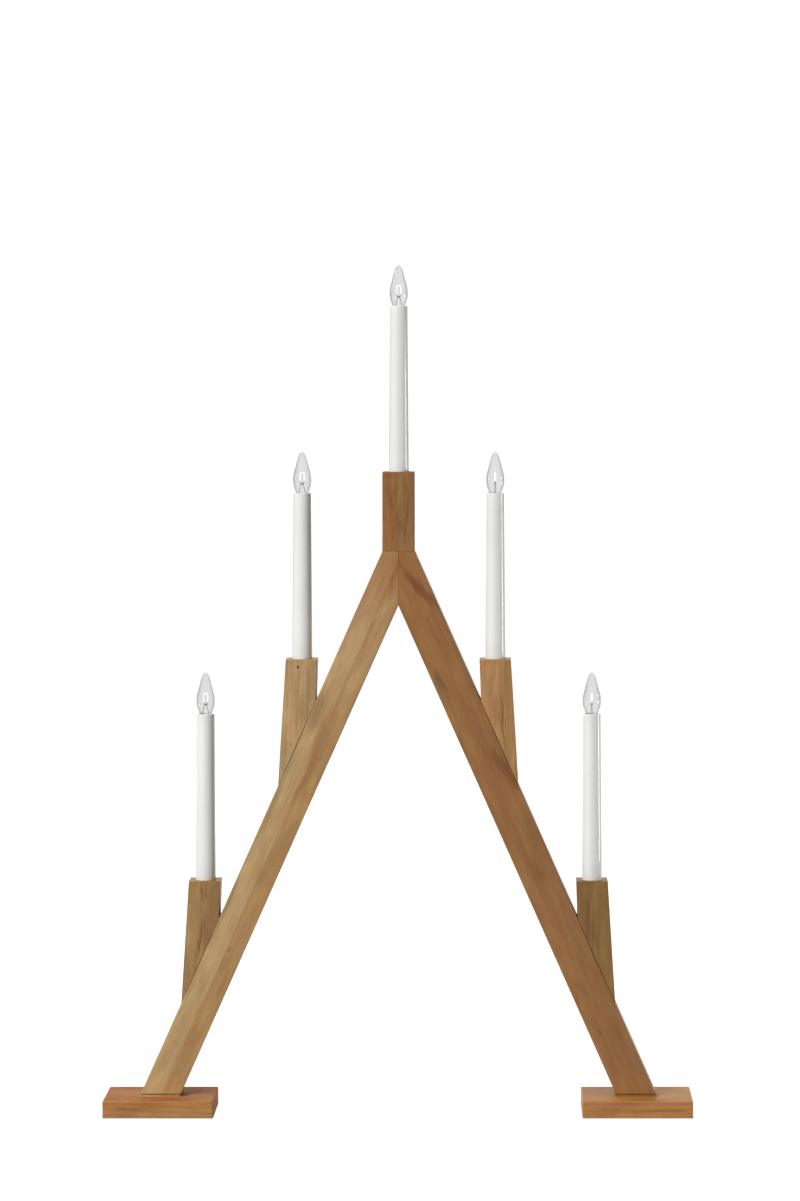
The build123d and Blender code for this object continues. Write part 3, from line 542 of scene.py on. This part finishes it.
# Candle sleeves: tapered, with a softened foot, a pocket for the lamp holder, and a rounded rim that turns in
# to a lip, whose funnel follows the glass (mm).
sleeve = {"rim": 7.8, "rimRound": 0.6, "rimSteps": 6, "mouth": 5.7, "funnel": 1.5, "lip": 4.85,
          "lipDepth": 2.0, "footBevel": 0.35, "bevelMiddle": (0.08, 0.1), "taperSteps": 8, "pocket": 6.5,
          "ledge": 5.9, "footBore": 7.4, "around": 128}
rimAngles = [math.radians(90 / sleeve["rimSteps"] * k) for k in range(sleeve["rimSteps"] + 1)]
for name in candleNames:
    low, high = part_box(name + "_candle")
    length = (high.z - low.z) / mm
    ledgeHeight = (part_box(name + "_lamp_holder")[0].z - low.z) / mm
    footRadius = (high.x - low.x) / 2 / mm
    soft = sleeve["rimRound"]
    rimArc = [(sleeve["rim"] - soft + soft * math.cos(a), length - soft + soft * math.sin(a))
              for a in rimAngles]
    narrowing = sleeve["rim"] - footRadius
    steps = sleeve["taperSteps"]
    taper = [(footRadius + narrowing * k / steps, length * k / steps) for k in range(1, steps)]
    bevelIn, bevelUp = sleeve["bevelMiddle"]
    profile = [(footRadius - sleeve["footBevel"], 0.0), (footRadius - bevelIn, bevelUp)]
    profile += [(footRadius, sleeve["footBevel"])] + taper + rimArc
    under = length - sleeve["lipDepth"]
    profile += [(sleeve["mouth"], length), (sleeve["lip"], length - sleeve["funnel"]), (sleeve["lip"], under)]
    profile += [(sleeve["pocket"], under)]
    profile += [(sleeve["pocket"], ledgeHeight), (sleeve["ledge"], ledgeHeight), (sleeve["footBore"], 0.0)]
    shape = bmesh.new()
    turn(shape, profile, sleeve["around"], closed=True)
    mesh = asMesh("sleeve", shape, [moulded["white_polypropylene"]])
    foot = Vector(((low.x + high.x) / 2, (low.y + high.y) / 2, low.z))
    mesh = placed(mesh, name + "_sleeve", foot)
    addPiece(name + "_sleeve", mesh, "frame", [name + "_candle"])
print("sleeves:", len(candleNames))


# Bulb glass: (radius, height above the candle's rim) in mm, drawn in to the cap below and to a thick tip
# above, with a seal in its foot and a bead between the leads.
bulb = {
    "outside": [(0.0, -6.6), (3.5, -6.6), (3.85, -6.2), (3.85, -3.6), (4.0, -2.7), (4.6, -1.5), (5.5, 0.0),
                (6.05, 1.8), (6.75, 3.5), (7.32, 5.2), (7.78, 7.0), (8.02, 8.9), (8.1, 10.9), (8.06, 12.6),
                (7.95, 14.2), (7.72, 15.9), (7.36, 17.6), (6.92, 19.3), (6.42, 21.1), (5.94, 22.9),
                (5.48, 24.6), (5.06, 26.3), (4.64, 28.1), (4.18, 29.9), (3.66, 31.6), (3.02, 33.3),
                (2.34, 34.6), (1.55, 35.55), (0.75, 36.05), (0.0, 36.2)],
    "inside": [(0.0, 34.9), (0.7, 34.7), (1.55, 34.0), (2.35, 32.7), (3.05, 31.1), (3.6, 29.6), (4.5, 26.3),
               (4.95, 24.5), (5.86, 21.0), (6.8, 17.5), (7.4, 14.1), (7.55, 10.9), (7.22, 7.0), (6.2, 3.6),
               (4.98, 0.2), (4.1, -1.4), (3.48, -2.7), (3.3, -3.6), (3.3, -5.6), (3.0, -6.0), (0.0, -6.0)],
    "seal": [(0.0, -5.95), (3.15, -5.95), (3.15, -5.2), (2.4, -4.5), (1.2, -4.1), (0.0, -4.0)],
    "beadRadius": 0.85, "beadLength": 3.4, "beadHeight": 8.0, "beadBlunt": 0.7, "beadSteps": 14,
    "beadAround": 24, "between": 3, "sharpAngle": 50, "around": 112}
# degrees that each bulb has stopped at
bulbTurns = {"apex": 0.0, "upper_left": 0.0, "upper_right": 78.0, "lower_left": 8.0, "lower_right": 74.0}
shape = bmesh.new()
turn(shape, smoothed(bulb["outside"], bulb["between"]), bulb["around"])
turn(shape, smoothed(bulb["inside"], bulb["between"]), bulb["around"])
turn(shape, bulb["seal"], bulb["around"], materialIndex=1)
half = bulb["beadLength"] / 2
beadAngles = [math.pi * k / bulb["beadSteps"] for k in range(1, bulb["beadSteps"])]
beadLine = [(bulb["beadRadius"] * math.sin(a) ** bulb["beadBlunt"], -half * math.cos(a)) for a in beadAngles]
bead = bmesh.new()
turn(bead, [(0.0, -half)] + beadLine + [(0.0, half)], bulb["beadAround"], materialIndex=1)
bmesh.ops.transform(bead, verts=bead.verts, matrix=(
    Matrix.Translation((0, 0, bulb["beadHeight"])) @ Matrix.Rotation(math.radians(90), 4, "Y")))
beadMesh = bpy.data.meshes.new("bead")
bead.to_mesh(beadMesh)
bead.free()
shape.from_mesh(beadMesh)
glassMesh = asMesh("glass", shape, [sodaGlass, moulded["grey_lead_glass"]], bulb["sharpAngle"])
rims = {}
for name in candleNames:
    low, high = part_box(name + "_candle")
    rims[name] = Vector(((low.x + high.x) / 2, (low.y + high.y) / 2, high.z))
    mesh = placed(glassMesh, name + "_glass", rims[name], math.radians(bulbTurns[name]))
    glass = addPiece(name + "_glass", mesh, name + "_bulb", [name + "_bulb_glass"])
    glass.visible_shadow = False  # thin clear glass shades nothing
print("bulbs:", len(rims))


# Bulb caps: a drawn brass cup with its rolled screw thread laid round it (mm).
cap = {"root": 4.22, "wall": 0.24, "lip": 4.62, "lipRound": 0.12, "lipDepth": 0.7, "flareDepth": 1.1,
       "throatDepth": 1.0, "coneHeight": 1.2, "coneRadius": 3.4, "threadFoot": 0.65, "around": 80}
capLow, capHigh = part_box("apex_bulb_cap")
capBottom = (capLow.z - rims["apex"].z) / mm
capTop = (capHigh.z - rims["apex"].z) / mm
coneTop = capBottom + cap["coneHeight"]
screwThread = {"Turns": 3.0, "Pitch": 1.814, "Radius": cap["root"], "Ridge": 0.46,
               "Start": coneTop + cap["threadFoot"]}
tree, sizes = startTree("rolledThread", screwThread)
climb = put(tree, "ShaderNodeMath", {"operation": "MULTIPLY"}, {
    0: sizes.outputs["Turns"], 1: sizes.outputs["Pitch"]})
helix = put(tree, "GeometryNodeCurveSpiral", {}, {
    "Resolution": 72, "Rotations": sizes.outputs["Turns"], "Start Radius": sizes.outputs["Radius"],
    "End Radius": sizes.outputs["Radius"], "Height": climb.outputs[0]})
lift = put(tree, "ShaderNodeCombineXYZ", {}, {"Z": sizes.outputs["Start"]})
raised = put(tree, "GeometryNodeTransform", {}, {
    "Geometry": helix.outputs[0], "Translation": lift.outputs[0]})
ridge = put(tree, "GeometryNodeCurvePrimitiveCircle", {}, {
    "Resolution": 10, "Radius": sizes.outputs["Ridge"]})
rolled = put(tree, "GeometryNodeCurveToMesh", {}, {
    "Curve": raised.outputs[0], "Profile Curve": ridge.outputs[0], "Fill Caps": True})
smooth = put(tree, "GeometryNodeSetShadeSmooth", {}, {"Geometry": rolled.outputs[0]})
joined = put(tree, "GeometryNodeJoinGeometry")
tree.links.new(sizes.outputs["Geometry"], joined.inputs[0])
tree.links.new(smooth.outputs[0], joined.inputs[0])
real = put(tree, "GeometryNodeRealizeInstances", {}, {"Geometry": joined.outputs[0]})
brassed = put(tree, "GeometryNodeSetMaterial", {}, {
    "Geometry": real.outputs[0], "Material": metals["brass_drawn"]})
put(tree, "NodeGroupOutput", {}, {"Geometry": brassed.outputs[0]})
shape = bmesh.new()
bore = cap["root"] - cap["wall"]
profile = [(cap["coneRadius"] - cap["wall"], capBottom), (cap["coneRadius"], capBottom)]
profile += [(cap["root"], coneTop), (cap["root"], capTop - cap["flareDepth"])]
profile += [(cap["lip"], capTop - cap["lipDepth"])]
profile += [(cap["lip"], capTop - cap["lipRound"]), (cap["lip"] - cap["lipRound"], capTop)]
profile += [(cap["lip"] - cap["wall"], capTop), (bore, capTop - cap["throatDepth"]), (bore, coneTop)]
turn(shape, profile, cap["around"], closed=True)
capBlank = asMesh("capBlank", shape, [metals["brass_drawn"]])
capMesh = grow(tree, capBlank, screwThread)
for name in candleNames:
    mesh = placed(capMesh, name + "_cap", rims[name], math.radians(bulbTurns[name]))
    addPiece(name + "_cap", mesh, name + "_bulb", [name + "_bulb_cap"])
print("caps:", len(capMesh.polygons), "faces each")


# Bulb ends: a black glass plug with a soldered dome under it (mm).
bulbEnd = {"wide": 3.0, "shoulder": 0.3, "shoulderRise": 0.1, "neck": 1.6, "neckHeight": 0.6, "dome": 0.7,
           "domeSteps": 8, "around": 64}
endLow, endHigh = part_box("apex_bulb_contact")
endTop = (endHigh.z - rims["apex"].z) / mm
endUnder = (endLow.z - rims["apex"].z) / mm + bulbEnd["dome"]
endFace = endUnder + bulbEnd["neckHeight"]
shape = bmesh.new()
profile = [(0.0, endUnder), (bulbEnd["neck"], endUnder)]
profile += [(bulbEnd["wide"] - bulbEnd["shoulder"], endFace + bulbEnd["shoulderRise"])]
profile += [(bulbEnd["wide"], endFace + bulbEnd["shoulder"]), (bulbEnd["wide"], endTop), (0.0, endTop)]
turn(shape, profile, bulbEnd["around"])
domeAngles = [math.pi / 2 * k / bulbEnd["domeSteps"] for k in range(bulbEnd["domeSteps"] + 1)]
domeLine = [(bulbEnd["neck"] * math.sin(a), endUnder - bulbEnd["dome"] * math.cos(a)) for a in domeAngles]
turn(shape, domeLine + [(0.0, endUnder)], bulbEnd["around"], materialIndex=1)
endMesh = asMesh("bulbEnd", shape, [moulded["black_vitreous"], metals["solder_tin_domed"]])
for name in candleNames:
    mesh = placed(endMesh, name + "_bulb_end", rims[name])
    addPiece(name + "_bulb_end", mesh, name + "_bulb_base", [name + "_bulb_contact"])
print("bulb ends:", len(endMesh.polygons), "faces each")


# Filaments: a close coil along a hairpin (mm). It has far fewer coils than the real one, so that they show.
hairpin = {"halfWidth": 1.85, "foot": 10.2, "top": 17.8, "bend": 1.7, "bendSteps": 17}
coilSizes = {"Coil Radius": 0.28, "Coil Pitch": 0.44, "Wire Radius": 0.14, "Points": 560}
tree, sizes = startTree("coilAlongPath", coilSizes)
fine = put(tree, "GeometryNodeResampleCurve", {}, {
    "Curve": sizes.outputs["Geometry"], "Count": sizes.outputs["Points"]})
along = put(tree, "GeometryNodeSplineParameter")
spinning = put(tree, "ShaderNodeMath", {"operation": "DIVIDE"}, {
    0: along.outputs["Length"], 1: sizes.outputs["Coil Pitch"]})
angle = put(tree, "ShaderNodeMath", {"operation": "MULTIPLY"}, {0: spinning.outputs[0], 1: 2 * math.pi})
cosine = put(tree, "ShaderNodeMath", {"operation": "COSINE"}, {0: angle.outputs[0]})
sine = put(tree, "ShaderNodeMath", {"operation": "SINE"}, {0: angle.outputs[0]})
normal = put(tree, "GeometryNodeInputNormal")
tangent = put(tree, "GeometryNodeInputTangent")
sideways = put(tree, "ShaderNodeVectorMath", {"operation": "CROSS_PRODUCT"}, {
    0: tangent.outputs[0], 1: normal.outputs[0]})
firstPart = put(tree, "ShaderNodeVectorMath", {"operation": "SCALE"}, {
    0: normal.outputs[0], "Scale": cosine.outputs[0]})
secondPart = put(tree, "ShaderNodeVectorMath", {"operation": "SCALE"}, {
    0: sideways.outputs[0], "Scale": sine.outputs[0]})
unit = put(tree, "ShaderNodeVectorMath", {"operation": "ADD"}, {
    0: firstPart.outputs[0], 1: secondPart.outputs[0]})
offset = put(tree, "ShaderNodeVectorMath", {"operation": "SCALE"}, {
    0: unit.outputs[0], "Scale": sizes.outputs["Coil Radius"]})
coiled = put(tree, "GeometryNodeSetPosition", {}, {"Geometry": fine.outputs[0], "Offset": offset.outputs[0]})
wire = put(tree, "GeometryNodeCurvePrimitiveCircle", {}, {
    "Resolution": 7, "Radius": sizes.outputs["Wire Radius"]})
drawn = put(tree, "GeometryNodeCurveToMesh", {}, {
    "Curve": coiled.outputs[0], "Profile Curve": wire.outputs[0], "Fill Caps": True})
smooth = put(tree, "GeometryNodeSetShadeSmooth", {}, {"Geometry": drawn.outputs[0]})
real = put(tree, "GeometryNodeRealizeInstances", {}, {"Geometry": smooth.outputs[0]})
glowing = put(tree, "GeometryNodeSetMaterial", {}, {"Geometry": real.outputs[0], "Material": tungsten})
put(tree, "NodeGroupOutput", {}, {"Geometry": glowing.outputs[0]})
line = bpy.data.curves.new("hairpin", "CURVE")
line.dimensions = "3D"
bendHeight = hairpin["top"] - hairpin["bend"]
reachIn = hairpin["halfWidth"] - hairpin["bend"]
bendAngles = [math.pi * k / hairpin["bendSteps"] for k in range(hairpin["bendSteps"] + 1)]
arc = [(math.copysign(reachIn, math.cos(a)) + hairpin["bend"] * math.cos(a), 0,
        bendHeight + hairpin["bend"] * math.sin(a)) for a in bendAngles]
path = [(hairpin["halfWidth"], 0, hairpin["foot"])] + arc + [(-hairpin["halfWidth"], 0, hairpin["foot"])]
run = line.splines.new("POLY")
run.points.add(len(path) - 1)
for point, spot in zip(run.points, path):
    point.co = (*spot, 1.0)
coilMesh = grow(tree, line, coilSizes)
for name in candleNames:
    mesh = placed(coilMesh, name + "_filament", rims[name], math.radians(bulbTurns[name]))
    addPiece(name + "_filament", mesh, name + "_bulb", [name + "_bulb_filament"])
print("filaments:", len(coilMesh.polygons), "faces each")


# Foot screws: countersunk wood screws with a cross recess, driven up from under the feet (mm).
footScrew = {"head": 4.0, "headSoft": (0.15, 0.12), "headHeight": 2.2, "neck": 1.95, "neckTop": 7.0,
             "shank": 1.45, "shankFoot": 8.0, "point": 6.0, "slotWidth": 0.9, "slotReach": 2.3,
             "slotDepth": 1.5, "around": 40}
woodThread = {"Turns": 12.0, "Thread Pitch": 2.1, "Thread Radius": 1.5, "Thread Ridge": 0.45,
              "Thread Start": 8.5}
low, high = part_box("foot_screws")
screwLength = (high.z - low.z) / mm
shape = bmesh.new()
softIn, softUp = footScrew["headSoft"]
profile = [(0.0, 0.0), (footScrew["head"] - softIn, 0.0), (footScrew["head"], softUp)]
profile += [(footScrew["neck"], footScrew["headHeight"]), (footScrew["neck"], footScrew["neckTop"])]
profile += [(footScrew["shank"], footScrew["shankFoot"])]
profile += [(footScrew["shank"], screwLength - footScrew["point"]), (0.0, screwLength)]
turn(shape, profile, footScrew["around"])
blank = asMesh("screwBlank", shape, [metals["steel_zinc_plated"]])
cutter = bmesh.new()
for turnBy in (0, 90):
    arm = bmesh.ops.create_cube(cutter, size=1.0)["verts"]
    armSize = (2 * footScrew["slotReach"], footScrew["slotWidth"], 2 * footScrew["slotDepth"], 1)
    bmesh.ops.transform(cutter, verts=arm, matrix=(
        Matrix.Rotation(math.radians(turnBy), 4, "Z") @ Matrix.Diagonal(armSize)))
cutterMesh = bpy.data.meshes.new("recess")
cutter.to_mesh(cutterMesh)
cutter.free()
blankObject = bpy.data.objects.new("screwBlank", blank)
recess = bpy.data.objects.new("recess", cutterMesh)
scene.collection.objects.link(blankObject)
scene.collection.objects.link(recess)
cut = blankObject.modifiers.new("recess", "BOOLEAN")
cut.object = recess
cut.solver = "EXACT"
cut.use_self = True
screwHead = bpy.data.meshes.new_from_object(blankObject.evaluated_get(bpy.context.evaluated_depsgraph_get()))
bpy.data.objects.remove(recess)
bpy.data.objects.remove(blankObject)
headObject = bpy.data.objects.new("screwHead", screwHead)
scene.collection.objects.link(headObject)
tree, sizes = startTree("screwsOnPoints", woodThread)
climb = put(tree, "ShaderNodeMath", {"operation": "MULTIPLY"}, {
    0: sizes.outputs["Turns"], 1: sizes.outputs["Thread Pitch"]})
helix = put(tree, "GeometryNodeCurveSpiral", {}, {
    "Resolution": 20, "Rotations": sizes.outputs["Turns"], "Start Radius": sizes.outputs["Thread Radius"],
    "End Radius": sizes.outputs["Thread Radius"], "Height": climb.outputs[0]})
lift = put(tree, "ShaderNodeCombineXYZ", {}, {"Z": sizes.outputs["Thread Start"]})
raised = put(tree, "GeometryNodeTransform", {}, {
    "Geometry": helix.outputs[0], "Translation": lift.outputs[0]})
ridge = put(tree, "GeometryNodeCurvePrimitiveCircle", {}, {
    "Resolution": 5, "Radius": sizes.outputs["Thread Ridge"]})
rolled = put(tree, "GeometryNodeCurveToMesh", {}, {
    "Curve": raised.outputs[0], "Profile Curve": ridge.outputs[0], "Fill Caps": True})
head = put(tree, "GeometryNodeObjectInfo", {}, {"Object": headObject})
oneScrew = put(tree, "GeometryNodeJoinGeometry")
tree.links.new(head.outputs["Geometry"], oneScrew.inputs[0])
tree.links.new(rolled.outputs[0], oneScrew.inputs[0])
spread = put(tree, "GeometryNodeInstanceOnPoints", {}, {
    "Points": sizes.outputs["Geometry"], "Instance": oneScrew.outputs[0]})
real = put(tree, "GeometryNodeRealizeInstances", {}, {"Geometry": spread.outputs[0]})
plated = put(tree, "GeometryNodeSetMaterial", {}, {
    "Geometry": real.outputs[0], "Material": metals["steel_zinc_plated"]})
put(tree, "NodeGroupOutput", {}, {"Geometry": plated.outputs[0]})
spots = bpy.data.meshes.new("screwSpots")
farX = high.x / mm - footScrew["head"]
farY = high.y / mm - footScrew["head"]
spots.from_pydata([(x, y, 0) for x in (-farX, farX) for y in (-farY, farY)], [], [])
screwMesh = grow(tree, spots, woodThread)
bpy.data.objects.remove(headObject)
mesh = placed(screwMesh, "wood_screws", Vector((0, 0, low.z)))
addPiece("wood_screws", mesh, "frame", ["foot_screws"])
print("screws:", len(screwMesh.polygons), "faces")


# CAD nodes that keep their own shape
keptFinishes = {
    "mitre_dowels": rolledBeech, "apex_dowels": rolledBeech, "side_dowels": rolledBeech,
    "left_wires": moulded["white_wire_sheath"], "right_wires": moulded["white_wire_sheath"],
    "return_wire": moulded["white_wire_sheath"], "terminal_block": moulded["cream_polyamide"],
    "candle_pegs": moulded["grey_nylon"], "socket_shells": metals["brass_drawn"],
    "socket_contacts": metals["brass_drawn"],
}
for name in candleNames:
    keptFinishes[name + "_lamp_holder"] = moulded["white_urea"]
    keptFinishes[name + "_bulb_leads"] = metals["nickel_wire_drawn"]
for nodeName, finish in keptFinishes.items():
    nodes[nodeName].data.materials.clear()
    nodes[nodeName].data.materials.append(finish)
print("kept nodes:", len(keptFinishes) + len(boards))


# Stage: one pale sheet, a broad floor that sweeps up to a narrower wall (metres).
studio = {"floorHalf": 8.4, "wallHalf": 3.4, "front": -8.4, "wall": 4.7, "bend": 1.6, "bendSteps": 15,
          "height": 4.6, "tint": "#969696", "glow": 0.93, "glowTint": "#FFFFFF", "world": 0.16}
bend = studio["bend"]
flatEnd = studio["wall"] - bend
bendAngles = [math.radians(90 / studio["bendSteps"] * k) for k in range(1, studio["bendSteps"] + 1)]
sweep = [(studio["front"], 0.0), (flatEnd, 0.0)]
sweep += [(flatEnd + bend * math.sin(a), bend - bend * math.cos(a)) for a in bendAngles]
sweep += [(studio["wall"], studio["height"])]
paper = bpy.data.meshes.new("paper")
corners = [(side * studio["wallHalf" if z > 0 else "floorHalf"], y, z) for y, z in sweep for side in (-1, 1)]
paper.from_pydata(corners, [], [(2 * k, 2 * k + 1, 2 * k + 3, 2 * k + 2) for k in range(len(sweep) - 1)])
paper.shade_smooth()
paperTone, tree = startMaterial("studio_paper")
shader = put(tree, "ShaderNodeBsdfPrincipled", {}, {
    "Base Color": linear(studio["tint"]), "Roughness": 0.9, "Specular IOR Level": 0.1,
    "Emission Color": linear(studio["glowTint"]), "Emission Strength": studio["glow"]})
put(tree, "ShaderNodeOutputMaterial", {}, {"Surface": shader.outputs[0]})
paper.materials.append(paperTone)
backdrop = bpy.data.objects.new("studio_paper", paper)
scene.collection.objects.link(backdrop)
backdrop.visible_diffuse = False  # it fills the picture and shows in shiny faces, but lights nothing
room = bpy.data.worlds.new("room")
room.use_nodes = True
room.node_tree.nodes["Background"].inputs["Color"].default_value = (1, 1, 1, 1)
room.node_tree.nodes["Background"].inputs["Strength"].default_value = studio["world"]
scene.world = room
scene.view_settings.view_transform = "Standard"

# Lights (metres): a large softbox high on the left, a weak fill by the camera, a strip level with the arch on
# the right, one overhead and one low behind. Only the strip shows in shiny faces.
softLights = {
    "key_softbox": {"place": (-3.6, -4.0, 2.4), "aim": (0, 0, 0.35), "size": (2.4, 2.4), "watts": 300.0},
    "camera_fill": {"place": (0.7, -3.2, 0.7), "aim": (0, 0, 0.3), "size": (1.2, 1.6), "watts": 4.0},
    "rim_strip": {"place": (1.6, 0.14, 0.32), "aim": (0, 0, 0.32), "size": (0.28, 0.75), "watts": 10.0},
    "overhead_softbox": {"place": (0.0, -0.5, 3.4), "aim": (0, 0, 0.3), "size": (1.6, 1.3), "watts": 42.0},
    "back_softbox": {"place": (-0.6, 2.2, 0.75), "aim": (0, 0, 0.35), "size": (1.6, 1.1), "watts": 24.0},
}
for name, look in softLights.items():
    lamp = bpy.data.lights.new(name, "AREA")
    lamp.shape = "RECTANGLE"
    lamp.size, lamp.size_y = look["size"]
    lamp.energy = look["watts"]
    stand = bpy.data.objects.new(name, lamp)
    stand.location = look["place"]
    stand.visible_camera = False
    stand.visible_glossy = name == "rim_strip"
    stand.rotation_euler = (Vector(look["aim"]) - Vector(look["place"])).to_track_quat("-Z", "Y").to_euler()
    scene.collection.objects.link(stand)

# Camera: level, well back, with the picture's frame shifted down and left (pixels, the eye in metres).
picture = {"width": 800, "height": 1201, "focal": 3200.0, "axis": (495.0, 350.0), "sensor": 36.0,
           "eye": (0.0843, -2.801, 0.666)}
lens = bpy.data.cameras.new("camera")
lens.sensor_width = picture["sensor"]
lens.lens = picture["focal"] * lens.sensor_width / picture["height"]
lens.shift_x = (picture["width"] / 2 - picture["axis"][0]) / picture["height"]
lens.shift_y = (picture["axis"][1] - picture["height"] / 2) / picture["height"]
camera = bpy.data.objects.new("camera", lens)
camera.location = picture["eye"]
camera.rotation_euler = (math.radians(90), 0, 0)
scene.collection.objects.link(camera)
scene.camera = camera
print("stage set")
